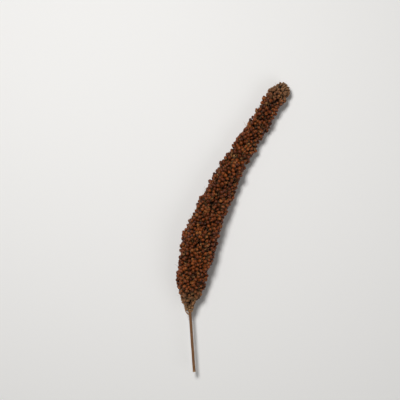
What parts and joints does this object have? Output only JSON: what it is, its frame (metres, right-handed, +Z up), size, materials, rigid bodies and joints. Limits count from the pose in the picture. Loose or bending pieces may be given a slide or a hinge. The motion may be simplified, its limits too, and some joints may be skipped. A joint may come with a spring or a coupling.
{
  "type": "millet seed head",
  "caption": "Dried foxtail millet seed head lying on its side: a dense, gently bent spike of small brown grains with a short cut straw stalk.",
  "frame": {"origin": "on the surface the head lies on, under the middle of the whole part's box", "axes": "+Z up from the surface, +Y from the cut stalk towards the tip, +X to the side that the tip bends to"},
  "size_m": [0.0578, 0.1454, 0.0192],
  "materials": {
    "grain_husk": "dry red-brown millet husks, satin on the grains and matt between them",
    "straw": "dry ribbed straw, matt"
  },
  "bodies": {
    "root": {"seed_head": "grain_husk", "stalk": "straw"}
  },
  "joints": []
}
